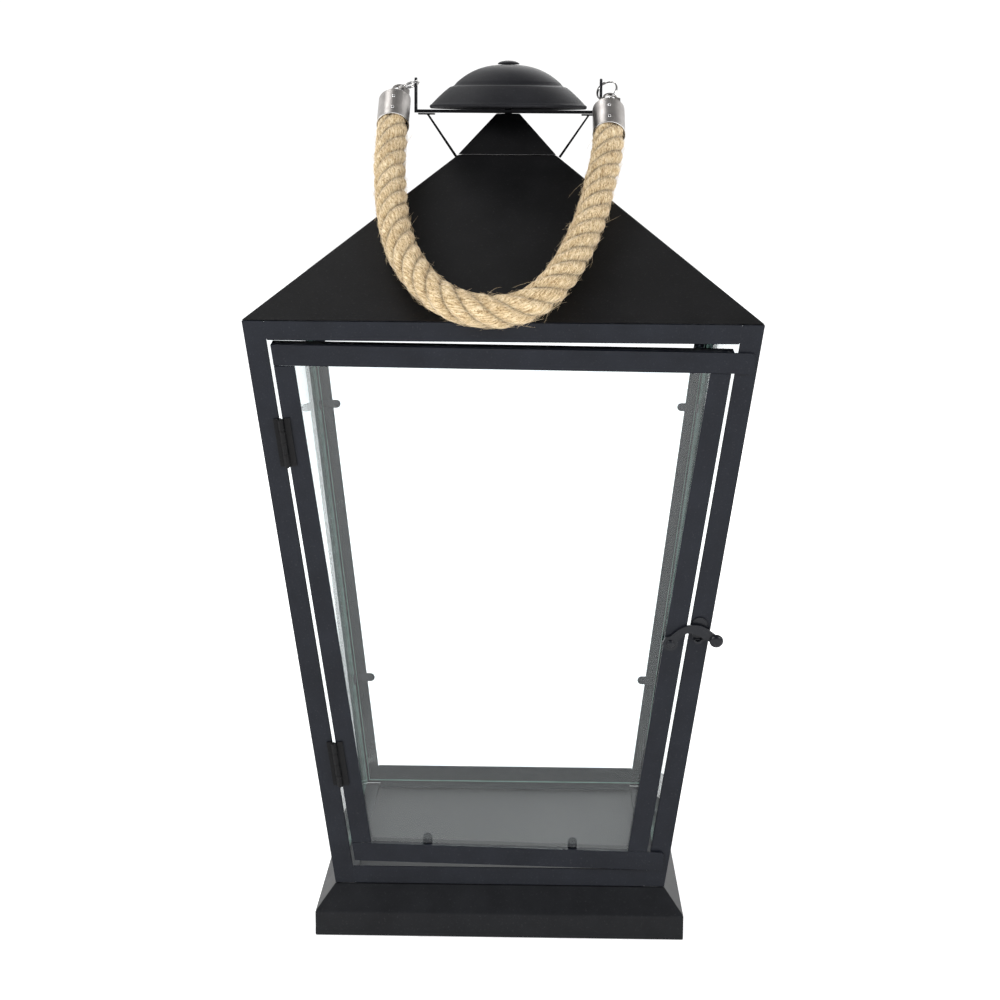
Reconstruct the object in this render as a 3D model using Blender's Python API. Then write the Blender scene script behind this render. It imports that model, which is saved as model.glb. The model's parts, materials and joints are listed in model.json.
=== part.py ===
"""Candle lantern: a tapered four-sided metal frame with glass panes, a hinged front door
with a swing latch, a hipped roof with a vented cap, and a rope carrying handle.

Frame: +Z up, the door faces -Y, the origin is the centre of the base on the table.
All values are in metres."""
import bpy
import bmesh
from math import atan2, cos, pi, radians, sin, sqrt, tau
from mathutils import Matrix, Vector

# ---- driving dimensions -------------------------------------------------------------------
EAVE_WIDTH = 0.310
FOOT_WIDTH = 0.212
EAVE_Z = 0.398
GAP = 0.0003
SHEET = 0.0015
# joined shapes stand back from each other's faces by this much
SETBACK = 0.00005

# plinth
PLINTH_WIDTH = 0.236
SKIRT_HEIGHT = 0.016
PLINTH_HEIGHT = 0.031
PLINTH_FLANGE = 0.008

# angle-iron frame
LEG = 0.013
RAIL_TOP_HEIGHT = 0.012
RAIL_BOTTOM_HEIGHT = 0.013
RAIL_FRONT_HEIGHT = 0.012

# glazing
GLASS_THICKNESS = 0.0025
GLASS_DEPTH = 0.0018
CLIP_WIDTH = 0.006
CLIP_THICKNESS = 0.0008
CLIP_REACH = 0.019
CLIP_HEIGHTS = (0.110, 0.311)

# door
DOOR_LEG = 0.0125
DOOR_FLANGE = 0.0107
DOOR_SIDE_GAP = 0.0021
DOOR_TOP_Z = 0.3836
DOOR_BOTTOM_Z = 0.048
DOOR_TOP_SAG = 0.0025
DOOR_BOTTOM_SAG = 0.004
DOOR_EAR = 0.010
DOOR_EAR_RADIUS = 0.0024

# butt hinges
HINGE_LENGTH = 0.030
HINGE_HEIGHTS = {"top": 0.324, "bottom": 0.115}
KNUCKLE_RADIUS = 0.0017
KNUCKLE_COUNT = 4
PIN_RADIUS = 0.0008
PIN_CLEARANCE = 0.00009
LEAF_THICKNESS = 0.0008
LEAF_WIDTH = 0.0036
HINGE_AXIS_N = 0.0036

# latch
LATCH_Z = 0.199
LATCH_INSET = 0.0085
ARM_THICKNESS = 0.0018
PIVOT_DISC_RADIUS = 0.0047
BALL_RADIUS = 0.0043
BALL_HALF_DEPTH = 0.0022
BALL_CENTRE = (0.0282, 0.0022)
# points along the arm's middle: (across, up, half width)
ARM_SPINE = ((0.0, 0.0, 0.0030), (0.0040, 0.0052, 0.0026), (0.0090, 0.0088, 0.0023),
             (0.0140, 0.0094, 0.0029), (0.0190, 0.0080, 0.0034), (0.0235, 0.0052, 0.0030),
             (*BALL_CENTRE, 0.0026))
ARM_BORE = 0.0016
RIVET_RADIUS = 0.0015
RIVET_BORE = 0.0018
RIVET_HEAD_RADIUS = 0.0026
RIVET_HEAD_HEIGHT = 0.0013
KEEPER_CENTRE = (0.0179, 0.0082)
KEEPER_WIDTH = 0.0092
KEEPER_HEIGHT = 0.0164
KEEPER_THICKNESS = 0.0009
SHELF_CENTRE = (0.0169, 0.0028)
SHELF_RADIUS = 0.00276
SHELF_DEPTH = 0.0042
SHELF_HOLLOW_RADIUS = 0.00193
SHELF_WALL = 0.0006

# roof
STEP_WIDTH = 0.063
STEP_Z = 0.495
VENT_WIDTH = 0.044
PEAK_WIDTH = 0.015
PEAK_Z = 0.5216

# cap
CAP_RADIUS = 0.0515
CAP_RIM_Z = 0.526
CAP_CREASE_RADIUS = 0.0354
CAP_CREASE_RISE = 0.014
CAP_DOME_RISE = 0.013
CAP_SHEET = 0.001
BOLT_RADIUS = 0.0024
BOLT_CLEARANCE = 0.0004
BOLT_HEAD_RADIUS = 0.0072
BOLT_HEAD_RISE = 0.0024
BOLT_END_Z = 0.510
CAP_LIP = 0.0014
NUT_RADIUS = 0.0046
NUT_HEIGHT = 0.004
THREAD_CLEARANCE = 0.00008

# handle bracket
BRACKET_X = 0.0605
BRACKET_THICKNESS = 0.0016
BRACKET_HALF_WIDTH = 0.0045
BAR_THICKNESS = 0.002
PIVOT_Z = 0.540
BRACKET_HOLE = 0.0029
STRUT_THICKNESS = 0.001
STRUT_HALF_WIDTH = 0.004
STRUT_TAB = (0.0480, 0.0590)
STRUT_BEND_X = 0.0525
# the strut's cut end over the roof's step: (out from the step, down from the step)
STRUT_FOOT = ((0.0018, 0.0010), (0.0031, 0.0018))

# handle: split rings, ferrules and rope
HANDLE_SLOPE = radians(39.6)
RING_RADIUS = 0.007
RING_WIRE = 0.0009
# how far outwards each ring leans: 0 straight down the slope, 1 straight out
RING_SPREAD = {-1: 0.90, 1: 0.40}
# how each ring's plane turns about the line between its two holes
RING_TURN = {-1: radians(40), 1: radians(-60)}
# how far each ring's centre is off that line, as an angle at the hole
RING_OFFSET = {-1: radians(32), 1: radians(10)}
ROPE_RADIUS = 0.0095
FERRULE_RADIUS = 0.0104
FERRULE_WALL = 0.0006
# lengths along a ferrule, from the middle of its hole
TONGUE_LENGTH = 0.0052
FERRULE_SHOULDER = 0.0127
ROPE_DEPTH = 0.0135
FERRULE_LENGTH = 0.037
FERRULE_MIDWAY = (0.0090, 0.0052)
TONGUE_HALF_WIDTH = 0.0068
TONGUE_TIP_RADIUS = 0.0045
TONGUE_THICKNESS = 0.0014
TONGUE_HOLE = 0.0033
# the rope's route, in the handle's plane: (across, down the slope)
ROPE_ROUTE = ((-0.0735, 0.0208), (-0.0736, 0.050), (-0.0733, 0.080), (-0.0715, 0.105),
              (-0.0685, 0.130), (-0.0640, 0.152), (-0.0560, 0.173), (-0.0445, 0.192),
              (-0.0285, 0.206), (-0.0080, 0.212), (0.0115, 0.208), (0.0265, 0.194),
              (0.0375, 0.174), (0.0460, 0.151), (0.0530, 0.127), (0.0585, 0.098),
              (0.0625, 0.075), (0.0647, 0.051), (0.0650, 0.0265))

# derived
FOOT_HALF = FOOT_WIDTH / 2
EAVE_HALF = EAVE_WIDTH / 2
TAPER = (EAVE_HALF - FOOT_HALF) / (EAVE_Z - PLINTH_HEIGHT)
LEAN = atan2(TAPER, 1.0)
SIDES = {"front": 0, "right": 1, "rear": 2, "left": 3}


# ---- scene, materials and meshes ----------------------------------------------------------
def clear_scene():
    for existing in list(bpy.data.objects):
        bpy.data.objects.remove(existing, do_unlink=True)


def material(name, colour, roughness, metallic, alpha=1.0):
    made = bpy.data.materials.get(name)
    if made:
        return made
    made = bpy.data.materials.new(name)
    made.use_nodes = True
    shader = made.node_tree.nodes["Principled BSDF"]
    shader.inputs["Base Color"].default_value = (*colour, 1.0)
    shader.inputs["Roughness"].default_value = roughness
    shader.inputs["Metallic"].default_value = metallic
    shader.inputs["Alpha"].default_value = alpha
    return made


def frame_paint():
    return material("frame_paint", (0.030, 0.032, 0.040), 0.45, 0.2)


def roof_paint():
    return material("roof_paint", (0.014, 0.013, 0.014), 0.50, 0.2)


def clear_glass():
    return material("clear_glass", (0.90, 0.95, 0.93), 0.05, 0.0, 0.2)


def bright_steel():
    return material("bright_steel", (0.62, 0.62, 0.62), 0.25, 1.0)


def jute():
    return material("jute", (0.61, 0.43, 0.24), 0.95, 0.0)


def finish_mesh(name, mesh_builder, paint, smooth=False):
    bmesh.ops.remove_doubles(mesh_builder, verts=mesh_builder.verts, dist=1e-7)
    bmesh.ops.recalc_face_normals(mesh_builder, faces=mesh_builder.faces)
    mesh = bpy.data.meshes.new(name)
    mesh_builder.to_mesh(mesh)
    mesh_builder.free()
    if smooth:
        mesh.shade_smooth()
        mesh.set_sharp_from_angle(angle=radians(35))
    made = bpy.data.objects.new(name, mesh)
    made.data.materials.append(paint)
    bpy.context.scene.collection.objects.link(made)
    return made


def bridge(mesh_builder, first, second):
    """Quads between two rings of the same count."""
    count = len(first)
    for i in range(count):
        j = (i + 1) % count
        mesh_builder.faces.new((first[i], first[j], second[j], second[i]))


def loft(name, rings, paint, closed_loop=False, smooth=False):
    """A body through rings of points. Its ends are capped, or the last ring joins the first."""
    builder = bmesh.new()
    made = [[builder.verts.new(point) for point in ring] for ring in rings]
    for first, second in zip(made, made[1:]):
        bridge(builder, first, second)
    if closed_loop:
        bridge(builder, made[-1], made[0])
    else:
        builder.faces.new(made[0])
        builder.faces.new(made[-1])
    return finish_mesh(name, builder, paint, smooth)


def prism(name, outline, place, low, high, paint):
    """A flat outline given thickness: place(a, b, n) puts a point in the world."""
    rings = [[place(a, b, n) for a, b in outline] for n in (low, high)]
    return loft(name, rings, paint)


def box(name, low, high, paint, place=None):
    place = place or (lambda x, y, z: Vector((x, y, z)))
    outline = ((low[0], low[1]), (high[0], low[1]), (high[0], high[1]), (low[0], high[1]))
    return prism(name, outline, place, low[2], high[2], paint)


def cylinder(name, start, end, radius, paint, sides=20, smooth=True):
    axis = (Vector(end) - Vector(start)).normalized()
    across = axis.orthogonal().normalized()
    other = axis.cross(across)
    rings = []
    for centre in (Vector(start), Vector(end)):
        rings.append([centre + radius * (cos(tau * i / sides) * across + sin(tau * i / sides) * other)
                      for i in range(sides)])
    return loft(name, rings, paint, smooth=smooth)


def turned(name, profile, paint, sides, centre=(0.0, 0.0)):
    """A closed profile of (radius, height) points turned about a vertical axis."""
    rings = []
    for radius, height in profile:
        rings.append([Vector((centre[0] + radius * cos(tau * i / sides),
                              centre[1] + radius * sin(tau * i / sides), height))
                      for i in range(sides)])
    return loft(name, rings, paint, closed_loop=True, smooth=True)


def combine(target, tool, operation):
    """Boolean of two bodies, applied; the tool is removed."""
    modifier = target.modifiers.new(operation, "BOOLEAN")
    modifier.operation = operation
    modifier.solver = "EXACT"
    modifier.object = tool
    depsgraph = bpy.context.evaluated_depsgraph_get()
    mesh = bpy.data.meshes.new_from_object(target.evaluated_get(depsgraph))
    target.modifiers.clear()
    target.data = mesh
    bpy.data.objects.remove(tool, do_unlink=True)
    return target


def union(target, *tools):
    for tool in tools:
        combine(target, tool, "UNION")
    return target


def cut(target, *tools):
    for tool in tools:
        combine(target, tool, "DIFFERENCE")
    return target


# ---- frames of reference -------------------------------------------------------------------
def half_width(z):
    """Half the body's width at a height."""
    return FOOT_HALF + TAPER * (z - PLINTH_HEIGHT)


def turn_to(side, point):
    """Turn a point of the front face about Z to another side."""
    return Matrix.Rotation(SIDES[side] * pi / 2, 3, "Z") @ Vector(point)


def on_face(side):
    """Places (across, up the slope, outwards) on one leaning face."""
    def place(x, s, n):
        y = -FOOT_HALF - s * sin(LEAN) - n * cos(LEAN)
        z = PLINTH_HEIGHT + s * cos(LEAN) - n * sin(LEAN)
        return turn_to(side, (x, y, z))
    return place


def slope_length(z):
    """Distance up the leaning face of a height."""
    return (z - PLINTH_HEIGHT) / cos(LEAN)


def face_half(s):
    """Half the body's width at a distance up the leaning face."""
    return FOOT_HALF + s * sin(LEAN)


def square_ring(half, z):
    return [Vector((half * a, half * b, z)) for a, b in ((-1, -1), (1, -1), (1, 1), (-1, 1))]


def arc(centre, radius, start, end, count):
    return [(centre[0] + radius * cos(start + (end - start) * i / count),
             centre[1] + radius * sin(start + (end - start) * i / count))
            for i in range(count + 1)]


# ---- body -----------------------------------------------------------------------------------
def make_plinth():
    outer = PLINTH_WIDTH / 2
    rings = [square_ring(FOOT_HALF, PLINTH_HEIGHT), square_ring(outer, SKIRT_HEIGHT),
             square_ring(outer, 0.0), square_ring(outer - PLINTH_FLANGE, 0.0),
             square_ring(outer - PLINTH_FLANGE, SHEET), square_ring(outer - SHEET, SHEET),
             square_ring(outer - SHEET, SKIRT_HEIGHT - SHEET / 2),
             square_ring(FOOT_HALF - SHEET / 2, PLINTH_HEIGHT - SHEET)]
    loft("base_plinth", rings, frame_paint())


def make_posts():
    for name, side in (("front_left", "front"), ("front_right", "right"),
                       ("rear_right", "rear"), ("rear_left", "left")):
        rings = []
        for z in (PLINTH_HEIGHT + GAP, EAVE_Z - GAP):
            edge = half_width(z)
            section = ((0, 0), (LEG, 0), (LEG, SHEET), (SHEET, SHEET), (SHEET, LEG), (0, LEG))
            rings.append([turn_to(side, (a - edge, b - edge, z)) for a, b in section])
        loft("post_" + name, rings, frame_paint())


def make_rail(name, side, low, high, flange_on_top):
    """An angle between two posts: one leg in the face, the other level and inwards."""
    if flange_on_top:
        section = ((low, 0), (high, 0), (high, LEG),
                   (high - SHEET, LEG), (high - SHEET, SHEET), (low, SHEET))
    else:
        section = ((low, 0), (low, LEG), (low + SHEET, LEG),
                   (low + SHEET, SHEET), (high, SHEET), (high, 0))
    rings = []
    for end in (-1, 1):
        rings.append([turn_to(side, (end * (half_width(z) - LEG - GAP), depth - half_width(z), z))
                      for z, depth in section])
    loft(name, rings, frame_paint())


def make_rails():
    top = EAVE_Z - GAP
    bottom = PLINTH_HEIGHT + GAP
    for side in SIDES:
        make_rail("rail_top_" + side, side, EAVE_Z - RAIL_TOP_HEIGHT, top, True)
        height = RAIL_FRONT_HEIGHT if side == "front" else RAIL_BOTTOM_HEIGHT
        make_rail("rail_bottom_" + side, side, bottom, bottom + height, False)


def make_fixed_glass():
    low = slope_length(PLINTH_HEIGHT + SHEET + 3 * GAP)
    high = slope_length(EAVE_Z - SHEET - 4 * GAP)
    margin = GLASS_DEPTH + GLASS_THICKNESS + 3 * GAP
    for side in ("left", "right", "rear"):
        outline = [(-face_half(low) + margin, low), (face_half(low) - margin, low),
                   (face_half(high) - margin, high), (-face_half(high) + margin, high)]
        prism("glass_" + side, outline, on_face(side), -GLASS_DEPTH - GLASS_THICKNESS, -GLASS_DEPTH,
              clear_glass())
        make_clips(side)


def clip_outline(root, tip, centre):
    """A tab with a round tip, from root to tip along the first axis."""
    radius = CLIP_WIDTH / 2
    direction = 1 if tip > root else -1
    points = arc((0.0, 0.0), radius, -pi / 2, pi / 2, 8)
    tip_points = [(tip + direction * (a - radius), centre + b) for a, b in points]
    return [(root, centre - radius), *tip_points, (root, centre + radius)]


def make_clips(side):
    """Tabs welded to the posts that hold one pane from inside."""
    high = -GLASS_DEPTH - GLASS_THICKNESS - GAP
    number = 0
    for z in CLIP_HEIGHTS:
        s = slope_length(z)
        for hand in (-1, 1):
            number += 1
            root = hand * (face_half(s) - GLASS_DEPTH - GLASS_THICKNESS - CLIP_THICKNESS - 4 * GAP)
            tip = hand * (face_half(s) - CLIP_REACH)
            prism(f"glass_clip_{side}_{number}", clip_outline(root, tip, s), on_face(side),
                  high - CLIP_THICKNESS, high, frame_paint())


# ---- door -----------------------------------------------------------------------------------
DOOR_FACE = GAP
DOOR_FRONT = GAP + SHEET
DOOR_BACK = GAP - DOOR_FLANGE


def door_edge(s, hand):
    """The door's side edge: hand -1 is the hinged side, 1 the latched side."""
    return hand * (face_half(s) - LEG - DOOR_SIDE_GAP)


def sag_line(left_z, sag):
    """A line across the door that drops to the latched side, as slope length over x."""
    left = slope_length(left_z)
    start = door_edge(left, -1)
    span = -2 * start
    return lambda x: left - sag * (x - start) / span


DOOR_TOP = sag_line(DOOR_TOP_Z, DOOR_TOP_SAG)
DOOR_BOTTOM = sag_line(DOOR_BOTTOM_Z, DOOR_BOTTOM_SAG)


def meet(line, offset, hand, inset=0.0):
    """Where a sagging line moved by offset meets the door's side edge moved in by inset."""
    x = door_edge(line(0.0), hand) - hand * inset
    for _ in range(4):
        x = door_edge(line(x) + offset, hand) - hand * inset
    return (x, line(x) + offset)


def ear(line, offset):
    """Where a sagging line moved by offset ends, past the latched side and over the post."""
    x = meet(line, 0.0, 1)[0] + DOOR_SIDE_GAP + DOOR_EAR
    return (x, line(x) + offset)


def round_corner(corner, radius, start):
    """A quarter round that replaces a square corner, counter-clockwise from the start angle."""
    centre = (corner[0] - radius, corner[1] - radius * sin(start + pi / 4) / abs(sin(start + pi / 4)))
    return arc(centre, radius, start, start + pi / 2, 4)


def make_door_rail(name, line, inward):
    """A door rail: front leg with a rounded ear over the post, and a flange on its outer edge."""
    place = on_face("front")
    width = inward * DOOR_LEG
    outer_first = meet(line, 0.0, -1)
    inner_first = meet(line, width, -1)
    outer_last = ear(line, 0.0)
    inner_last = ear(line, width)
    low_last = outer_last if inward > 0 else inner_last
    high_last = inner_last if inward > 0 else outer_last
    low_first = outer_first if inward > 0 else inner_first
    high_first = inner_first if inward > 0 else outer_first
    outline = [low_first, *round_corner(low_last, DOOR_EAR_RADIUS, -pi / 2),
               *round_corner(high_last, DOOR_EAR_RADIUS, 0.0), high_first]
    rail = prism(name, outline, place, DOOR_FACE, DOOR_FRONT, frame_paint())
    start = inward * SETBACK
    edge = inward * SHEET
    flange_outline = [meet(line, start, -1, SETBACK), meet(line, start, 1, SETBACK),
                      meet(line, edge, 1, SETBACK), meet(line, edge, -1, SETBACK)]
    flange = prism("flange", flange_outline, place, DOOR_BACK, DOOR_FACE + SHEET / 2, frame_paint())
    return union(rail, flange)


def make_door_stile(name, hand):
    """A door stile between the rails, with a flange on its outer edge."""
    place = on_face("front")
    low = DOOR_LEG + GAP
    high = -DOOR_LEG - GAP
    section = ((0, DOOR_BACK), (SHEET, DOOR_BACK), (SHEET, DOOR_FACE), (DOOR_LEG, DOOR_FACE),
               (DOOR_LEG, DOOR_FRONT), (0, DOOR_FRONT))
    rings = [[place(*meet(line, offset, hand, inset), n) for inset, n in section]
             for line, offset in ((DOOR_BOTTOM, low), (DOOR_TOP, high))]
    return loft(name, rings, frame_paint())


def make_door():
    make_door_rail("door_rail_top", DOOR_TOP, -1)
    make_door_rail("door_rail_bottom", DOOR_BOTTOM, 1)
    make_door_stile("door_stile_left", -1)
    make_door_stile("door_stile_right", 1)
    margin = SHEET + 2 * GAP
    pane = [meet(DOOR_BOTTOM, margin, -1, margin), meet(DOOR_BOTTOM, margin, 1, margin),
            meet(DOOR_TOP, -margin, 1, margin), meet(DOOR_TOP, -margin, -1, margin)]
    prism("door_glass", pane, on_face("front"), -GLASS_THICKNESS, 0.0, clear_glass())
    make_door_clips()


def make_door_clips():
    """Tabs on the bottom rail's flange that hold the door's pane from inside."""
    face = on_face("front")
    width = 2 * abs(door_edge(DOOR_BOTTOM(0.0), 1))
    for number, share in ((1, -0.25), (2, 0.25)):
        x = share * width
        root = DOOR_BOTTOM(x) + SHEET + 2 * GAP
        tip = DOOR_BOTTOM(x) + CLIP_REACH
        outline = [(b, a) for a, b in clip_outline(root, tip, 0.0)]
        outline = [(x + a, b) for a, b in outline]
        prism(f"door_glass_clip_{number}", outline, face, -GLASS_THICKNESS - GAP - CLIP_THICKNESS,
              -GLASS_THICKNESS - GAP, frame_paint())


# ---- hinges ----------------------------------------------------------------------------------
def hinge_frame(z):
    """Places (across, along the axis, outwards) about one hinge's middle on the door's hinged side."""
    face = on_face("front")
    s = slope_length(z)
    centre = (-(face_half(s) - LEG - DOOR_SIDE_GAP / 2), s)
    tilt = atan2(sin(LEAN), 1.0)

    def place(u, w, v):
        x = centre[0] + u * cos(tilt) - w * sin(tilt)
        up = centre[1] + u * sin(tilt) + w * cos(tilt)
        return face(x, up, HINGE_AXIS_N + v)
    return place


def knuckle_spans(first):
    """Every second knuckle's start and end along the axis, counted from the top."""
    pitch = HINGE_LENGTH / KNUCKLE_COUNT
    spans = []
    for i in range(first, KNUCKLE_COUNT, 2):
        top = HINGE_LENGTH / 2 - i * pitch
        spans.append((top - pitch + GAP / 2, top - GAP / 2))
    return spans


def make_leaf(name, place, first, plate, plate_n, web):
    """One leaf: a flat plate, its knuckles and the webs that carry them."""
    leaf = box(name, (plate[0], -HINGE_LENGTH / 2, plate_n[0]), (plate[1], HINGE_LENGTH / 2, plate_n[1]),
               frame_paint(), place)
    for low, high in knuckle_spans(first):
        knuckle = cylinder("knuckle", place(0, low, 0), place(0, high, 0), KNUCKLE_RADIUS, frame_paint())
        inset = SETBACK
        arm = box("web", (web[0][0] + inset, low + inset, web[1][0] + inset),
                  (web[0][1] - inset, high - inset, web[1][1] - inset), frame_paint(), place)
        union(leaf, arm, knuckle)
    bore_end = 0.6 * HINGE_LENGTH
    bore = cylinder("bore", place(0, -bore_end, 0), place(0, bore_end, 0), PIN_RADIUS + PIN_CLEARANCE,
                    frame_paint())
    cut(leaf, bore)
    leaf.data.shade_smooth()
    leaf.data.set_sharp_from_angle(angle=radians(35))
    return leaf


def make_hinges():
    post_n = (GAP - HINGE_AXIS_N, GAP + LEAF_THICKNESS - HINGE_AXIS_N)
    door_n = (DOOR_FRONT + GAP - HINGE_AXIS_N, DOOR_FRONT + GAP + LEAF_THICKNESS - HINGE_AXIS_N)
    clear = KNUCKLE_RADIUS + GAP
    edge = DOOR_SIDE_GAP / 2
    for label, z in HINGE_HEIGHTS.items():
        place = hinge_frame(z)
        make_leaf("hinge_" + label + "_post_leaf", place, 0, (-edge - LEAF_WIDTH, -edge), post_n,
                  ((-KNUCKLE_RADIUS, -edge), (post_n[0], 0.0)))
        make_leaf("hinge_" + label + "_door_leaf", place, 1, (clear, clear + LEAF_WIDTH), door_n,
                  ((PIN_RADIUS + GAP, clear + GAP), door_n))
        half = HINGE_LENGTH / 2 + 2 * GAP
        cylinder("hinge_" + label + "_pin", place(0, -half, 0), place(0, half, 0), PIN_RADIUS,
                 frame_paint(), sides=16)


# ---- latch -----------------------------------------------------------------------------------
def latch_centre():
    s = slope_length(LATCH_Z)
    return (door_edge(s, 1) - LATCH_INSET, s)


def latch_place(x, up, n):
    centre = latch_centre()
    return on_face("front")(centre[0] + x, centre[1] + up, n)


def smooth_route(points, steps):
    """Points along a Catmull-Rom curve through the given points, of any dimension."""
    route = []
    last = len(points) - 1
    for i in range(last):
        before = points[max(i - 1, 0)]
        start = points[i]
        end = points[i + 1]
        after = points[min(i + 2, last)]
        for step in range(steps):
            t = step / steps
            route.append(tuple(0.5 * (2 * b + (c - a) * t + (2 * a - 5 * b + 4 * c - d) * t ** 2
                                      + (3 * b - a - 3 * c + d) * t ** 3)
                               for a, b, c, d in zip(before, start, end, after)))
    route.append(tuple(points[last]))
    return route


def latch_cylinder(name, low, high, radius, sides=20):
    """A cylinder on the latch's own pivot, between two levels off the frame's face."""
    return cylinder(name, latch_place(0, 0, low), latch_place(0, 0, high), radius, frame_paint(), sides)


def make_latch():
    """A curved arm with a pivot disc at one end and a ball at the other."""
    low = DOOR_FRONT + GAP
    high = low + ARM_THICKNESS
    curve = smooth_route(ARM_SPINE, 4)
    upper = []
    lower = []
    for i, (x, up, half) in enumerate(curve):
        before = curve[max(i - 1, 0)]
        after = curve[min(i + 1, len(curve) - 1)]
        run = Vector((after[0] - before[0], after[1] - before[1])).normalized()
        upper.append((x - half * run.y, up + half * run.x))
        lower.append((x + half * run.y, up - half * run.x))
    arm = prism("latch_arm", lower + upper[::-1], latch_place, low, high, frame_paint())
    disc = latch_cylinder("disc", low, high, PIVOT_DISC_RADIUS, 28)
    ball_rings = []
    middle = low + BALL_HALF_DEPTH
    for i in range(1, 8):
        angle = pi * i / 8
        ring_radius = BALL_RADIUS * sin(angle)
        level = middle - BALL_HALF_DEPTH * cos(angle)
        ball_rings.append([latch_place(BALL_CENTRE[0] + ring_radius * cos(tau * k / 24),
                                       BALL_CENTRE[1] + ring_radius * sin(tau * k / 24), level)
                           for k in range(24)])
    ball = loft("ball", ball_rings, frame_paint(), smooth=True)
    union(arm, disc, ball)
    cut(arm, latch_cylinder("hole", low - SHEET, high + SHEET, ARM_BORE))
    arm.data.shade_smooth()
    arm.data.set_sharp_from_angle(angle=radians(35))

    stile = bpy.data.objects["door_stile_right"]
    cut(stile, latch_cylinder("bore", DOOR_BACK, low, RIVET_BORE))
    rivet = latch_cylinder("latch_rivet", DOOR_FACE - GAP, high + GAP, RIVET_RADIUS)
    head_rings = []
    for share in (0.0, 0.45, 0.8, 1.0):
        radius = RIVET_HEAD_RADIUS * sqrt(1.0 - 0.9 * share * share)
        level = high + GAP / 2 + RIVET_HEAD_HEIGHT * share
        head_rings.append([latch_place(radius * cos(tau * k / 20), radius * sin(tau * k / 20), level)
                           for k in range(20)])
    union(rivet, loft("head", head_rings, frame_paint(), smooth=True))
    make_keeper()


def make_keeper():
    """An oval plate on the post with a half-round shelf that the arm comes down on."""
    x, up = KEEPER_CENTRE
    half_length = (KEEPER_HEIGHT - KEEPER_WIDTH) / 2
    outline = arc((x, up + half_length), KEEPER_WIDTH / 2, 0.0, pi, 12)
    outline += arc((x, up - half_length), KEEPER_WIDTH / 2, pi, tau, 12)
    plate = prism("latch_keeper", outline, latch_place, GAP, GAP + KEEPER_THICKNESS, frame_paint())
    shelf_outline = arc(SHELF_CENTRE, SHELF_RADIUS, pi, tau, 10)
    shelf = prism("shelf", shelf_outline, latch_place, GAP + KEEPER_THICKNESS / 2, SHELF_DEPTH,
                  frame_paint())
    hollow_outline = arc((SHELF_CENTRE[0], SHELF_CENTRE[1] + SHELF_WALL), SHELF_HOLLOW_RADIUS, pi, tau, 10)
    hollow = prism("hollow", hollow_outline, latch_place, SHELF_DEPTH / 2, SHELF_DEPTH + SHEET,
                   frame_paint())
    union(plate, cut(shelf, hollow))


# ---- roof and cap ----------------------------------------------------------------------------
def make_roof():
    slope = (STEP_Z - EAVE_Z) / (EAVE_HALF - STEP_WIDTH / 2)
    wall = SHEET / sin(atan2(slope, 1.0))
    under = STEP_Z - SHEET
    under_half = STEP_WIDTH / 2 + SHEET / slope - wall
    rings = [square_ring(EAVE_HALF, EAVE_Z), square_ring(STEP_WIDTH / 2, STEP_Z),
             square_ring(VENT_WIDTH / 2, STEP_Z), square_ring(VENT_WIDTH / 2, under),
             square_ring(under_half, under), square_ring(EAVE_HALF - wall, EAVE_Z)]
    loft("roof_lower", rings, roof_paint(), closed_loop=True)

    base = STEP_Z + GAP
    peak_slope = (PEAK_Z - base) / (STEP_WIDTH / 2 - PEAK_WIDTH / 2)
    peak_wall = SHEET / sin(atan2(peak_slope, 1.0))
    inner_top = PEAK_WIDTH / 2 + SHEET / peak_slope - peak_wall
    bolt_hole = BOLT_RADIUS + BOLT_CLEARANCE
    rings = [square_ring(STEP_WIDTH / 2 - peak_wall, base), square_ring(STEP_WIDTH / 2, base),
             square_ring(PEAK_WIDTH / 2, PEAK_Z), square_ring(bolt_hole, PEAK_Z),
             square_ring(bolt_hole, PEAK_Z - SHEET), square_ring(inner_top, PEAK_Z - SHEET)]
    loft("roof_upper", rings, roof_paint(), closed_loop=True)


def cap_rise(radius):
    """Height of the cap's outer surface over its rim: a crowned dome over a flared skirt."""
    if radius <= CAP_CREASE_RADIUS:
        return CAP_CREASE_RISE + CAP_DOME_RISE * (1.0 - (radius / CAP_CREASE_RADIUS) ** 2.6)
    share = (radius - CAP_CREASE_RADIUS) / (CAP_RADIUS - CAP_CREASE_RADIUS)
    return CAP_CREASE_RISE * (1.0 - share ** 1.25)


def make_cap():
    hole = BOLT_RADIUS + BOLT_CLEARANCE
    steps = 8
    radii = [hole + (CAP_CREASE_RADIUS - hole) * i / steps for i in range(steps + 1)]
    radii += [CAP_CREASE_RADIUS + (CAP_RADIUS - CAP_CREASE_RADIUS) * i / 5 for i in range(1, 6)]
    outer = [(radius, CAP_RIM_Z + cap_rise(radius)) for radius in radii]
    outer.append((CAP_RADIUS, CAP_RIM_Z - CAP_LIP))
    inner = [(CAP_RADIUS - CAP_LIP, CAP_RIM_Z - CAP_LIP)]
    for radius, height in outer[-3::-1]:
        slope = (cap_rise(radius + 1e-4) - cap_rise(max(radius - 1e-4, 0.0))) / 2e-4
        depth = CAP_SHEET * sqrt(1.0 + slope * slope)
        inner.append((radius, height - depth))
    turned("cap", outer + inner, roof_paint(), 40)


def make_cap_bolt():
    """A round-headed bolt through the cap, the bar and the roof's peak."""
    top = CAP_RIM_Z + cap_rise(0.0) + GAP
    profile = [(BOLT_RADIUS, BOLT_END_Z), (BOLT_RADIUS, top)]
    profile += [(BOLT_HEAD_RADIUS * cos(pi / 2 * i / 5), top + BOLT_HEAD_RISE * sin(pi / 2 * i / 5))
                for i in range(5)]
    rings = [[Vector((radius * cos(tau * k / 28), radius * sin(tau * k / 28), z)) for k in range(28)]
             for radius, z in profile]
    loft("cap_bolt", rings, roof_paint(), smooth=True)


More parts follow.
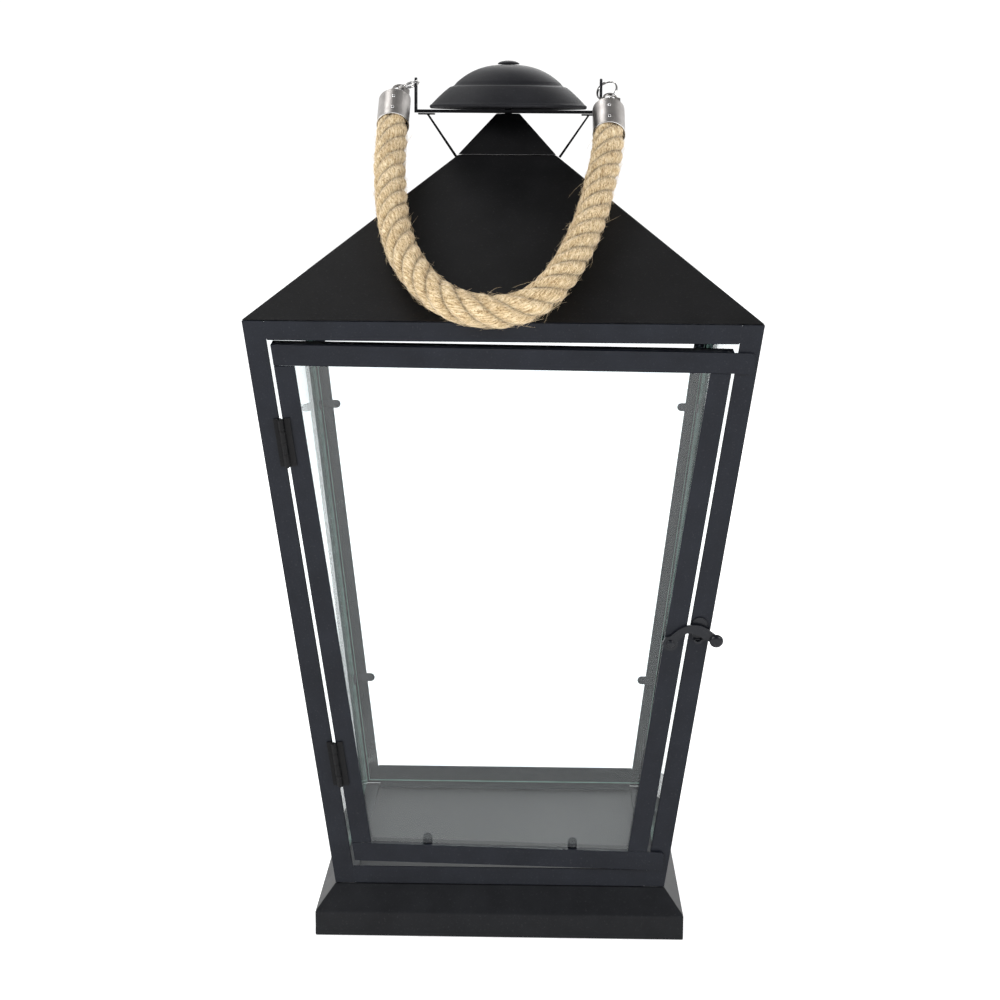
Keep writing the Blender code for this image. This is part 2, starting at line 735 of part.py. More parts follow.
def make_cap_nut():
    """A hexagon nut on the bolt, inside the roof's peak."""
    top = PEAK_Z - SHEET - GAP
    bottom = top - NUT_HEIGHT
    bore = BOLT_RADIUS + THREAD_CLEARANCE
    hexagon = []
    circle = []
    for k in range(24):
        angle = tau * k / 24
        reach = NUT_RADIUS / cos((angle + pi / 6) % (pi / 3) - pi / 6)
        hexagon.append((reach * cos(angle), reach * sin(angle)))
        circle.append((bore * cos(angle), bore * sin(angle)))
    rings = [[Vector((x, y, z)) for x, y in outline]
             for outline, z in ((hexagon, bottom), (hexagon, top), (circle, top), (circle, bottom))]
    loft("cap_nut", rings, bright_steel(), closed_loop=True)


# ---- bracket and struts -----------------------------------------------------------------------
def across_y(x, z, y):
    return Vector((x, y, z))


def along_x(y, z, x):
    return Vector((x, y, z))


BAR_LOW = PEAK_Z + GAP
BAR_HIGH = BAR_LOW + BAR_THICKNESS


def make_bracket():
    """A flat bar under the cap, turned up at both ends to carry the handle's rings."""
    outer = BRACKET_X + BRACKET_THICKNESS / 2
    inner = BRACKET_X - BRACKET_THICKNESS / 2
    bar = box("handle_bracket", (-outer, BAR_LOW, -BRACKET_HALF_WIDTH),
              (outer, BAR_HIGH, BRACKET_HALF_WIDTH), roof_paint(), across_y)
    for hand in (-1, 1):
        outline = [(-BRACKET_HALF_WIDTH, BAR_LOW), (BRACKET_HALF_WIDTH, BAR_LOW),
                   *arc((0.0, PIVOT_Z), BRACKET_HALF_WIDTH, 0.0, pi, 10)]
        leg = prism("leg", outline, along_x, hand * inner, hand * outer, roof_paint())
        union(bar, leg)
        hole = cylinder("hole", (hand * (inner - SHEET), 0, PIVOT_Z), (hand * (outer + SHEET), 0, PIVOT_Z),
                        BRACKET_HOLE, roof_paint())
        cut(bar, hole)
    cut(bar, cylinder("bolt_hole", (0, 0, BAR_LOW - SHEET), (0, 0, BAR_HIGH + SHEET),
                      BOLT_RADIUS + BOLT_CLEARANCE, roof_paint()))


def make_struts():
    """Bent strips: a tab under the bar's end and a leg down to the roof's step."""
    top = BAR_LOW - GAP
    below = top - STRUT_THICKNESS
    (near_out, near_down), (far_out, far_down) = STRUT_FOOT
    half_cut = (far_out - near_out) / 2
    outline = ((STRUT_TAB[0], top), (STRUT_TAB[0], below), (STRUT_BEND_X - half_cut, below),
               (STEP_WIDTH / 2 + near_out, STEP_Z - near_down),
               (STEP_WIDTH / 2 + far_out, STEP_Z - far_down),
               (STRUT_BEND_X + half_cut, below), (STRUT_TAB[1], below), (STRUT_TAB[1], top))
    for label, hand in (("left", -1), ("right", 1)):
        mirrored = [(hand * x, z) for x, z in outline]
        prism("strut_" + label, mirrored, across_y, -STRUT_HALF_WIDTH, STRUT_HALF_WIDTH, roof_paint())


# ---- handle -------------------------------------------------------------------------------------
DOWN = Vector((0.0, -cos(HANDLE_SLOPE), -sin(HANDLE_SLOPE)))
NORMAL = Vector((0.0, -sin(HANDLE_SLOPE), cos(HANDLE_SLOPE)))
PIVOT = Vector((0.0, 0.0, PIVOT_Z))


def handle_place(x, down, n):
    """Places (across, down the slope, off the slope) in the handle's plane."""
    return PIVOT + Vector((x, 0.0, 0.0)) + DOWN * down + NORMAL * n


def ring_frame(hand):
    """A ring's centre and the two directions that span its plane."""
    spread = RING_SPREAD[hand]
    down_share = sqrt(1.0 - spread ** 2)
    reach = Vector((hand * spread, 0.0, 0.0)) + DOWN * down_share
    across = Vector((hand * down_share, 0.0, 0.0)) - DOWN * spread
    rise = NORMAL * cos(RING_TURN[hand]) - across * sin(RING_TURN[hand])
    start = PIVOT + Vector((hand * BRACKET_X, 0.0, 0.0))
    offset = RING_OFFSET[hand]
    centre = start + RING_RADIUS * (reach * cos(offset) + rise * sin(offset))
    return centre, reach, rise


def tongue_hole(hand):
    """The ferrule hole's place in the handle's plane."""
    chord = 2 * RING_RADIUS * cos(RING_OFFSET[hand])
    spread = RING_SPREAD[hand]
    return hand * (BRACKET_X + spread * chord), sqrt(1.0 - spread ** 2) * chord


def make_ring(name, hand):
    centre, reach, rise = ring_frame(hand)
    normal = reach.cross(rise)
    rings = []
    for i in range(36):
        outwards = reach * cos(tau * i / 36) + rise * sin(tau * i / 36)
        middle = centre + outwards * RING_RADIUS
        rings.append([middle + RING_WIRE * (outwards * cos(tau * k / 10) + normal * sin(tau * k / 10))
                      for k in range(10)])
    loft(name, rings, bright_steel(), closed_loop=True, smooth=True)


def ferrule_axis(hand):
    return ROPE_ROUTE[0][0] if hand < 0 else ROPE_ROUTE[-1][0]


def make_ferrule(name, hand):
    """A round cap over the rope's end, pressed flat into a tongue with a hole."""
    sides = 32
    hole = tongue_hole(hand)
    axis = ferrule_axis(hand)
    tongue_end = hole[1] + TONGUE_LENGTH
    shoulder = hole[1] + FERRULE_SHOULDER
    end = hole[1] + FERRULE_LENGTH
    stations = ((tongue_end, 0.0, TONGUE_HALF_WIDTH, TONGUE_THICKNESS / 2),
                (0.5 * (tongue_end + shoulder), 0.5, *FERRULE_MIDWAY),
                (shoulder, 1.0, FERRULE_RADIUS, FERRULE_RADIUS),
                (end, 1.0, FERRULE_RADIUS, FERRULE_RADIUS))
    rings = []
    for down, share, half_wide, half_thick in stations:
        middle = hole[0] + (axis - hole[0]) * share
        rings.append([handle_place(middle + half_wide * cos(tau * k / sides), down,
                                   half_thick * sin(tau * k / sides))
                      for k in range(sides)])
    inner = FERRULE_RADIUS - FERRULE_WALL
    for down in (end, hole[1] + ROPE_DEPTH - GAP):
        rings.append([handle_place(axis + inner * cos(tau * k / sides), down,
                                   inner * sin(tau * k / sides))
                      for k in range(sides)])
    body = loft(name, rings, bright_steel(), smooth=True)
    tip = arc(hole, TONGUE_TIP_RADIUS, pi, tau, 10)
    low = hole[0] - TONGUE_HALF_WIDTH
    high = hole[0] + TONGUE_HALF_WIDTH
    root = tongue_end + 0.001
    corner = hole[1] + 0.001
    outline = [(low, root), (low, corner), *tip, (high, corner), (high, root)]
    half = TONGUE_THICKNESS / 2
    union(body, prism("tongue", outline, handle_place, -half, half, bright_steel()))
    cut(body, cylinder("hole", handle_place(*hole, -4 * half), handle_place(*hole, 4 * half),
                       TONGUE_HOLE, bright_steel()))
    body.data.shade_smooth()
    body.data.set_sharp_from_angle(angle=radians(35))


def make_rope():
    curve = bpy.data.curves.new("handle_rope", "CURVE")
    curve.dimensions = "3D"
    points = [handle_place(x, down, 0.0) for x, down in smooth_route(ROPE_ROUTE, 2)]
    spline = curve.splines.new("POLY")
    spline.points.add(len(points) - 1)
    for target, point in zip(spline.points, points):
        target.co = (*point, 1.0)
    curve.bevel_depth = ROPE_RADIUS
    curve.bevel_resolution = 3
    curve.use_fill_caps = True
    rope = bpy.data.objects.new("handle_rope", curve)
    curve.materials.append(jute())
    bpy.context.scene.collection.objects.link(rope)


def make_handle():
    for label, hand in (("left", -1), ("right", 1)):
        make_ring("ring_" + label, hand)
        make_ferrule("ferrule_" + label, hand)
    make_rope()


def main():
    clear_scene()
    make_plinth()
    make_posts()
    make_rails()
    make_fixed_glass()
    make_door()
    make_hinges()
    make_latch()
    make_roof()
    make_cap()
    make_cap_bolt()
    make_cap_nut()
    make_bracket()
    make_struts()
    make_handle()


main()
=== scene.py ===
"""Candle lantern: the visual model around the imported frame.

The panes and nearly all the metal are their CAD solids with rounded edges and procedural looks.
The rope, its loose fibres, the split rings, the cap, the weld beads and the ferrules' rims and
rivets are modelled here in full."""
import json
import random
from math import cos, pi, radians, sin, sqrt, tau

import bmesh
import bpy
from mathutils import Matrix, Vector, noise


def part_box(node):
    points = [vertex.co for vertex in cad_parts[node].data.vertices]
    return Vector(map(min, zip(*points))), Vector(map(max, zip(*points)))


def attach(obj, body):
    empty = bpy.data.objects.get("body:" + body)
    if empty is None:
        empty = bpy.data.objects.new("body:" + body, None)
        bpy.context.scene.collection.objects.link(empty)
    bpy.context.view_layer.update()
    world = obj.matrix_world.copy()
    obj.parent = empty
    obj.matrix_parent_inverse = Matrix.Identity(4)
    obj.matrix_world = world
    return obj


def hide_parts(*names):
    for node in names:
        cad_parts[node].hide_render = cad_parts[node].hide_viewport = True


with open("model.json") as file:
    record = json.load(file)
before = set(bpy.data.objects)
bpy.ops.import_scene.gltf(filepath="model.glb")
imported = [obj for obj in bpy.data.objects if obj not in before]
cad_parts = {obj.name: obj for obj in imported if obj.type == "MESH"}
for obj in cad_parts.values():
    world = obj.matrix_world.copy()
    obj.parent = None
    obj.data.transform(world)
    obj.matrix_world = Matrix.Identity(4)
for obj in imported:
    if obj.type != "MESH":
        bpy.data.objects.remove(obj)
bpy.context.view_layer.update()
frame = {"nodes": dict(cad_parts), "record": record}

random.seed(7)

# ---- sizes shared with the CAD model, in metres --------------------------------------------
PIVOT = Vector((0.0, 0.0, 0.540))
EAVE_WIDTH = 0.310
FOOT_WIDTH = 0.212
EAVE_Z = 0.398
PLINTH_HEIGHT = 0.031
POST_LEG = 0.013
HANDLE_SLOPE = radians(39.6)
DOWN = Vector((0.0, -cos(HANDLE_SLOPE), -sin(HANDLE_SLOPE)))
NORMAL = Vector((0.0, -sin(HANDLE_SLOPE), cos(HANDLE_SLOPE)))
ROPE_RADIUS = 0.0095
ROPE_ROUTE = ((-0.0735, 0.0208), (-0.0736, 0.050), (-0.0733, 0.080), (-0.0715, 0.105),
              (-0.0685, 0.130), (-0.0640, 0.152), (-0.0560, 0.173), (-0.0445, 0.192),
              (-0.0285, 0.206), (-0.0080, 0.212), (0.0115, 0.208), (0.0265, 0.194),
              (0.0375, 0.174), (0.0460, 0.151), (0.0530, 0.127), (0.0585, 0.098),
              (0.0625, 0.075), (0.0647, 0.051), (0.0650, 0.0265))
ROPE_LAY = 0.052
STRANDS = 4
GROOVE_FILL = 0.022
BRACKET_X = 0.0605
RING_RADIUS = 0.007
RING_SPREAD = {-1: 0.90, 1: 0.40}
RING_TURN = {-1: radians(40), 1: radians(-60)}
RING_OFFSET = {-1: radians(32), 1: radians(10)}
FERRULE_RADIUS = 0.0104
FERRULE_LENGTH = 0.037
CAP_RADIUS = 0.0515
CAP_RIM_Z = 0.526
CAP_CREASE_RADIUS = 0.0354
CAP_CREASE_RISE = 0.014
CAP_DOME_RISE = 0.013

# ---- detail sizes, in metres ---------------------------------------------------------------
# how much of the rope each ferrule hides, along the rope
LEFT_COVER = 0.021
RIGHT_COVER = 0.023
# the rope widens as it leaves a ferrule
SWELL_SHARE = 0.055
SWELL_RUN = 0.012
ROPE_POINT_PITCH = 0.0008
ROPE_SIDES = 112
ROUTE_STEPS = 24
# turn of the yarns against the strands, in radians for each metre
YARN_LEAN = 14.0
YARN_RELIEF = 0.00042
FIBRE_RELIEF = 0.00030
LUMP_RELIEF = 0.00050
# loose fibres: lying over the grooves, then two lengths of fuzz
FIBRE_KINDS = (
    dict(count=80, reach=(0.006, 0.017), lift=(0.35, 1.10), radius=(0.00006, 0.00010),
         lean=0.9, steps=10),
    dict(count=2200, reach=(0.0020, 0.0060), lift=(0.12, 0.60), radius=(0.00005, 0.00010),
         lean=0.9, steps=5),
    dict(count=2600, reach=(0.0040, 0.0110), lift=(0.00, 0.14), radius=(0.00007, 0.00015),
         lean=0.35, steps=6),
)
# a fibre's furthest drop towards the roof, below the rope's middle line
FIBRE_DROP = 0.0100
RING_WIRE = 0.00052
RING_TURNS = 2.0
FERRULE_EDGE_ROUND = 0.00018
RIM_BEAD = 0.00042
RIVETS_FROM_RIM = (0.0060, 0.0172)
RIVET_RADIUS = 0.0013
RIVET_HEIGHT = 0.0009
CAP_HOLE_RADIUS = 0.0028
CAP_SHEET = 0.001
CAP_ROLL = 0.0013
CREASE_SOFTNESS = 0.0007
CREASE_HOLLOW = 0.0007
PANE_EDGE_ROUND = 0.00035
WELD_BEAD = 0.00072
WELD_WANDER = 0.00008

# node name start: look (None for its slot's), edge round, segments; the first match counts
FINISHES = (
    ("base_plinth", "plinth_paint", 0.0009, 3),
    ("cap_bolt", "cap_paint", 0.0003, 3),
    ("handle_bracket", "cap_paint", 0.0003, 3),
    ("latch_arm", "latch_paint", 0.0008, 5),
    ("latch_", "latch_paint", 0.0003, 5),
    ("hinge_", "roof_paint", 0.0002, 3),
    ("glass_clip_", None, 0.0003, 3),
    ("door_glass_clip_", None, 0.0003, 3),
    ("roof_", None, 0.0006, 3),
    ("", None, 0.00035, 3),
)

# ---- stage, in metres, watts and degrees ---------------------------------------------------
FLOOR_RADIUS = 7.0
FLOOR_BLEND = 1.6
FLOOR_DROP = 0.0004
BACKDROP = 1.06
CAMERA_PLACE = (0.0202, -1.370, 0.5013)
CAMERA_YAW = radians(-0.99)
CAMERA_PITCH = radians(9.8)
CAMERA_ROLL = radians(0.43)
CAMERA_LENS = 73.98
BODY_MIDDLE = (0.0, 0.0, 0.3)
BODY_TOP = (0.0, 0.0, 0.5)
# name, place, diameter, power, aim
SOFTBOXES = (
    ("softbox_left", (-1.7, -1.5, 1.5), 1.1, 40.0, BODY_MIDDLE),
    ("softbox_right", (1.7, -1.5, 1.4), 1.1, 34.0, BODY_MIDDLE),
    ("softbox_rear", (0.3, 1.9, 1.7), 1.4, 22.0, BODY_MIDDLE),
    ("softbox_top", (-0.8, 0.9, 2.2), 0.9, 9.0, BODY_TOP),
)

body_of = {node: body for body, nodes in frame["record"]["behaviour"]["bodies"].items()
           for node in nodes}
slot_of = {part["node"]: part["material_slot"] for part in frame["record"]["subparts"]}


# ---- node helpers ---------------------------------------------------------------------------
def new_material(name):
    made = bpy.data.materials.new(name)
    made.use_nodes = True
    made.node_tree.nodes.clear()
    return made, made.node_tree


def add(tree, kind, **values):
    node = tree.nodes.new(kind)
    for key, value in values.items():
        if key in node.inputs:
            node.inputs[key].default_value = value
        else:
            setattr(node, key, value)
    return node


def noise_node(tree, vector, scale, detail=4.0, roughness=0.55):
    made = add(tree, "ShaderNodeTexNoise", Scale=scale, Detail=detail, Roughness=roughness)
    tree.links.new(vector, made.inputs["Vector"])
    return made.outputs["Fac"]


def ramp(tree, factor, stops):
    made = tree.nodes.new("ShaderNodeValToRGB")
    tree.links.new(factor, made.inputs["Fac"])
    elements = made.color_ramp.elements
    while len(elements) < len(stops):
        elements.new(0.5)
    for element, (position, colour) in zip(elements, stops):
        element.position = position
        element.color = (*colour, 1.0) if len(colour) == 3 else colour
    return made.outputs["Color"]


def grey(value):
    return (value, value, value)


def spread_range(tree, factor, low, high):
    made = add(tree, "ShaderNodeMapRange")
    tree.links.new(factor, made.inputs["Value"])
    made.inputs["To Min"].default_value = low
    made.inputs["To Max"].default_value = high
    return made.outputs["Result"]


def bump(tree, height, strength, distance, normal=None):
    made = add(tree, "ShaderNodeBump", Strength=strength, Distance=distance)
    tree.links.new(height, made.inputs["Height"])
    if normal is not None:
        tree.links.new(normal, made.inputs["Normal"])
    return made.outputs["Normal"]


def blend(tree, kind, share, first, second):
    made = add(tree, "ShaderNodeMix", data_type="RGBA", blend_type=kind)
    made.inputs["Factor"].default_value = share
    tree.links.new(first, made.inputs["A"])
    tree.links.new(second, made.inputs["B"])
    return made.outputs["Result"]


def mix_shaders(tree, share, first, second):
    made = tree.nodes.new("ShaderNodeMixShader")
    tree.links.new(share, made.inputs["Fac"])
    tree.links.new(first, made.inputs[1])
    tree.links.new(second, made.inputs[2])
    return made.outputs["Shader"]


def object_space(tree):
    return tree.nodes.new("ShaderNodeTexCoord").outputs["Object"]


def surface(tree, shader):
    output = tree.nodes.new("ShaderNodeOutputMaterial")
    tree.links.new(shader, output.inputs["Surface"])


# ---- materials ------------------------------------------------------------------------------
def painted(name, dark, light, rough, gloss, grain=0.10):
    """Sprayed paint on steel: cloudy colour, fine orange peel and a few nibs where airborne specks
    settled in the wet coat.
    """
    made, tree = new_material(name)
    place = object_space(tree)
    cloud = noise_node(tree, place, scale=38.0, detail=5.0)
    fine = noise_node(tree, place, scale=850.0, detail=3.0)
    peel = noise_node(tree, place, scale=2300.0, detail=2.0)
    shader = add(tree, "ShaderNodeBsdfPrincipled", Metallic=0.0)
    shader.inputs["Specular IOR Level"].default_value = gloss
    colour = ramp(tree, cloud, ((0.32, dark), (0.68, light)))
    speck = ramp(tree, fine, ((0.60, grey(0.0)), (0.78, grey(1.0))))
    tree.links.new(blend(tree, "ADD", 0.015, colour, speck), shader.inputs["Base Color"])
    tree.links.new(spread_range(tree, cloud, *rough), shader.inputs["Roughness"])
    first = bump(tree, peel, strength=grain, distance=0.00025)
    relief = bump(tree, fine, strength=grain * 1.5, distance=0.0004, normal=first)
    tree.links.new(relief, shader.inputs["Normal"])
    surface(tree, shader.outputs["BSDF"])
    return made


def metal(name, dark, light, rough):
    """Plated steel, slightly dulled, with fine drawing marks."""
    made, tree = new_material(name)
    place = object_space(tree)
    cloud = noise_node(tree, place, scale=120.0, detail=5.0)
    fine = noise_node(tree, place, scale=1800.0, detail=3.0)
    shader = add(tree, "ShaderNodeBsdfPrincipled", Metallic=1.0)
    tree.links.new(ramp(tree, cloud, ((0.3, dark), (0.7, light))), shader.inputs["Base Color"])
    tree.links.new(spread_range(tree, fine, *rough), shader.inputs["Roughness"])
    tree.links.new(bump(tree, fine, strength=0.12, distance=0.0002), shader.inputs["Normal"])
    surface(tree, shader.outputs["BSDF"])
    return made


def pane_glass():
    """Thin clear float glass: see-through, with a mirror share that grows towards grazing."""
    made, tree = new_material("pane_glass")
    clear = add(tree, "ShaderNodeBsdfTransparent", Color=(0.962, 0.976, 0.978, 1.0))
    gloss = add(tree, "ShaderNodeBsdfPrincipled", Metallic=1.0, Roughness=0.02)
    gloss.inputs["Base Color"].default_value = (0.95, 0.97, 0.96, 1.0)
    facing = add(tree, "ShaderNodeLayerWeight", Blend=0.5).outputs["Facing"]
    steep = add(tree, "ShaderNodeMath", operation="POWER")
    tree.links.new(facing, steep.inputs[0])
    steep.inputs[1].default_value = 4.5
    mirror = spread_range(tree, steep.outputs["Value"], low=0.035, high=0.80)
    waves = noise_node(tree, object_space(tree), scale=9.0, detail=2.0)
    tree.links.new(bump(tree, waves, strength=0.02, distance=0.002), gloss.inputs["Normal"])
    surface(tree, mix_shaders(tree, mirror, clear.outputs["BSDF"], gloss.outputs["BSDF"]))
    return made


def pane_edge():
    """The cut edge of float glass, green from the depth of glass behind it."""
    made, tree = new_material("pane_edge")
    place = object_space(tree)
    shader = add(tree, "ShaderNodeBsdfPrincipled", Roughness=0.25)
    cloud = noise_node(tree, place, scale=160.0, detail=3.0)
    tree.links.new(ramp(tree, cloud, ((0.3, (0.16, 0.30, 0.25)), (0.7, (0.32, 0.48, 0.42)))),
                   shader.inputs["Base Color"])
    tree.links.new(bump(tree, cloud, strength=0.2, distance=0.0003), shader.inputs["Normal"])
    surface(tree, shader.outputs["BSDF"])
    return made


def jute(name):
    """Twisted jute: streaks along the yarns, painted shade in the grooves, painted fibre shadow in
    small dark flecks, pale broken fibres.
    """
    made, tree = new_material(name)
    along = add(tree, "ShaderNodeAttribute", attribute_name="fibre_space").outputs["Vector"]
    groove = add(tree, "ShaderNodeAttribute", attribute_name="crest").outputs["Fac"]
    streak = noise_node(tree, along, scale=1250.0, detail=6.0, roughness=0.68)
    yarn = noise_node(tree, along, scale=480.0, detail=2.0)
    cloud = noise_node(tree, object_space(tree), scale=70.0, detail=4.0)
    fleck = noise_node(tree, object_space(tree), scale=900.0, detail=3.0)
    shader = add(tree, "ShaderNodeBsdfPrincipled", Roughness=0.92)
    shader.inputs["Specular IOR Level"].default_value = 0.25
    shader.inputs["Sheen Weight"].default_value = 0.25
    shader.inputs["Sheen Roughness"].default_value = 0.5
    low = (0.27, 0.165, 0.066)
    middle = (0.64, 0.475, 0.262)
    high = (0.91, 0.77, 0.53)
    colour = ramp(tree, streak, ((0.33, low), (0.47, middle), (0.61, high)))
    # painted shade: the rope darkens towards the bottom of the grooves between its strands
    shade = ramp(tree, groove, ((0.0, grey(0.55)), (0.40, grey(0.88)), (1.0, grey(1.0))))
    tone = ramp(tree, cloud, ((0.3, (0.86, 0.83, 0.78)), (0.7, (1.0, 1.0, 1.0))))
    # painted fibre shadow: small dark brown flecks where the fibres shade one another
    painted_fibre_shadow = ramp(tree, fleck, ((0.34, (0.52, 0.44, 0.34)), (0.46, (1.0, 1.0, 1.0))))
    for factor in (shade, tone, painted_fibre_shadow):
        colour = blend(tree, "MULTIPLY", 1.0, colour, factor)
    tree.links.new(colour, shader.inputs["Base Color"])
    first = bump(tree, yarn, strength=0.7, distance=0.0009)
    relief = bump(tree, streak, strength=0.8, distance=0.0005, normal=first)
    tree.links.new(relief, shader.inputs["Normal"])
    surface(tree, shader.outputs["BSDF"])
    return made


def fibre_material():
    """A single loose jute fibre, paler than the rope's grooves."""
    made, tree = new_material("jute_fibre")
    shader = add(tree, "ShaderNodeBsdfPrincipled", Roughness=0.7)
    cloud = noise_node(tree, object_space(tree), scale=400.0, detail=2.0)
    tree.links.new(ramp(tree, cloud, ((0.3, (0.56, 0.41, 0.23)), (0.7, (0.88, 0.74, 0.51)))),
                   shader.inputs["Base Color"])
    surface(tree, shader.outputs["BSDF"])
    return made


def make_materials():
    return {
        "frame_paint": painted(
            "frame_paint_look", dark=(0.0050, 0.0062, 0.0100), light=(0.0090, 0.0108, 0.0160),
            rough=(0.36, 0.48), gloss=0.19),
        "plinth_paint": painted(
            "plinth_paint_look", dark=(0.0075, 0.0080, 0.0092), light=(0.0115, 0.0122, 0.0140),
            rough=(0.40, 0.52), gloss=0.15, grain=0.03),
        "latch_paint": painted(
            "latch_paint_look", dark=(0.0050, 0.0058, 0.0080), light=(0.0085, 0.0095, 0.0125),
            rough=(0.26, 0.36), gloss=0.26, grain=0.04),
        "roof_paint": painted(
            "roof_paint_look", dark=(0.0030, 0.0030, 0.0033), light=(0.0055, 0.0055, 0.0060),
            rough=(0.50, 0.62), gloss=0.18),
        "cap_paint": painted(
            "cap_paint_look", dark=(0.0110, 0.0112, 0.0130), light=(0.0190, 0.0192, 0.0220),
            rough=(0.50, 0.62), gloss=0.10),
        "clear_glass": pane_glass(),
        "glass_edge": pane_edge(),
        "ring_steel": metal(
            "ring_steel_look", dark=(0.40, 0.39, 0.38), light=(0.66, 0.65, 0.64),
            rough=(0.16, 0.30)),
        "ferrule_metal": metal(
            "ferrule_metal_look", dark=(0.34, 0.32, 0.305), light=(0.50, 0.475, 0.455),
            rough=(0.28, 0.44)),
        "jute_rope": jute("jute_rope_look"),
        "jute_fibre": fibre_material(),
    }


looks = make_materials()


# ---- mesh helpers ---------------------------------------------------------------------------
def link(name, mesh):
    made = bpy.data.objects.new(name, mesh)
    bpy.context.scene.collection.objects.link(made)
    return made


def mesh_object(name, builder, look, smooth_angle=35.0):
    bmesh.ops.recalc_face_normals(builder, faces=builder.faces)
    mesh = bpy.data.meshes.new(name)
    builder.to_mesh(mesh)
    builder.free()
    mesh.shade_smooth()
    if smooth_angle is not None:
        mesh.set_sharp_from_angle(angle=radians(smooth_angle))
    made = link(name, mesh)
    made.data.materials.append(look)
    return made


def settle(piece):
    """Apply a piece's modifiers to its mesh."""
    depsgraph = bpy.context.evaluated_depsgraph_get()
    mesh = bpy.data.meshes.new_from_object(
        piece.evaluated_get(depsgraph), preserve_all_data_layers=True, depsgraph=depsgraph)
    piece.modifiers.clear()
    piece.data = mesh


def place_piece(piece, body, slot, *nodes):
    """Put a piece on its body, standing for the CAD nodes given, which it hides. The slot is not
    used.
    """
    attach(piece, body)
    if nodes:
        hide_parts(*nodes)
    return piece


def rounded(node, look, width, segments=3, angle=32.0):
    """The CAD node's solid with its edges rounded, standing for the node."""
    builder = bmesh.new()
    builder.from_mesh(frame["nodes"][node].data)
    bmesh.ops.remove_doubles(builder, verts=builder.verts, dist=1e-6)
    bmesh.ops.dissolve_limit(builder, angle_limit=radians(0.6), verts=builder.verts,
                             edges=builder.edges)
    mesh = bpy.data.meshes.new(node + "_look")
    builder.to_mesh(mesh)
    builder.free()
    mesh.materials.clear()
    mesh.materials.append(look)
    mesh.shade_smooth()
    piece = link(node + "_look", mesh)
    bevel = piece.modifiers.new("edges", "BEVEL")
    bevel.width = width
    bevel.segments = segments
    bevel.limit_method = "ANGLE"
    bevel.angle_limit = radians(angle)
    bevel.use_clamp_overlap = True
    bevel.miter_outer = "MITER_ARC"
    weighted = piece.modifiers.new("normals", "WEIGHTED_NORMAL")
    weighted.keep_sharp = False
    settle(piece)
    return place_piece(piece, body_of[node], slot_of[node], node)


def join_rings(builder, rings, closed=False):
    """Skin each ring of vertices to the next, and the last to the first when closed."""
    count = len(rings[0])
    following = rings[1:] + rings[:1] if closed else rings[1:]
    for first, second in zip(rings, following):
        for k in range(count):
            j = (k + 1) % count
            builder.faces.new((first[k], first[j], second[j], second[k]))


def ring_of(builder, centre, size, one, other, sides):
    """Vertices round a circle in the plane of two unit directions."""
    ring = []
    for k in range(sides):
        angle = tau * k / sides
        ring.append(builder.verts.new(centre + size * (cos(angle) * one + sin(angle) * other)))
    return ring


def tube(builder, path, radius, sides=10, closed=False, taper=None):
    """A round tube along points; taper gives a share of the radius at each point."""
    count = len(path)
    rings = []
    guide = None
    for i, point in enumerate(path):
        before = path[(i - 1) % count] if closed or i > 0 else point
        after = path[(i + 1) % count] if closed or i < count - 1 else point
        ahead = (after - before).normalized()
        if guide is None:
            guide = ahead.orthogonal()
        guide = (guide - ahead * guide.dot(ahead)).normalized()
        size = radius * (taper[i] if taper else 1.0)
        rings.append(ring_of(builder, point, size, guide, ahead.cross(guide), sides))
    join_rings(builder, rings, closed)
    if not closed:
        builder.faces.new(rings[0][::-1])
        builder.faces.new(rings[-1])


# ---- stage, light and camera ------------------------------------------------------------------
def make_floor():
    """A pale round floor whose glow rises to the backdrop's white away from the object."""
    builder = bmesh.new()
    bmesh.ops.create_circle(builder, cap_ends=True, segments=96, radius=FLOOR_RADIUS)
    mesh = bpy.data.meshes.new("floor")
    builder.to_mesh(mesh)
    builder.free()
    made, tree = new_material("floor_look")
    shader = add(tree, "ShaderNodeBsdfPrincipled", Roughness=0.9)
    shader.inputs["Base Color"].default_value = (0.80, 0.80, 0.80, 1.0)
    shader.inputs["Specular IOR Level"].default_value = 0.0
    shader.inputs["Emission Strength"].default_value = 1.0
    reach = add(tree, "ShaderNodeVectorMath", operation="LENGTH")
    tree.links.new(object_space(tree), reach.inputs[0])
    spread = add(tree, "ShaderNodeMapRange")
    spread.inputs["From Max"].default_value = FLOOR_BLEND
    tree.links.new(reach.outputs["Value"], spread.inputs["Value"])
    glow = ramp(tree, spread.outputs["Result"], ((0.10, grey(0.62)), (0.9, grey(1.05))))
    tree.links.new(glow, shader.inputs["Emission Color"])
    surface(tree, shader.outputs["BSDF"])
    mesh.materials.append(made)
    floor = link("floor", mesh)
    floor.location.z = -FLOOR_DROP


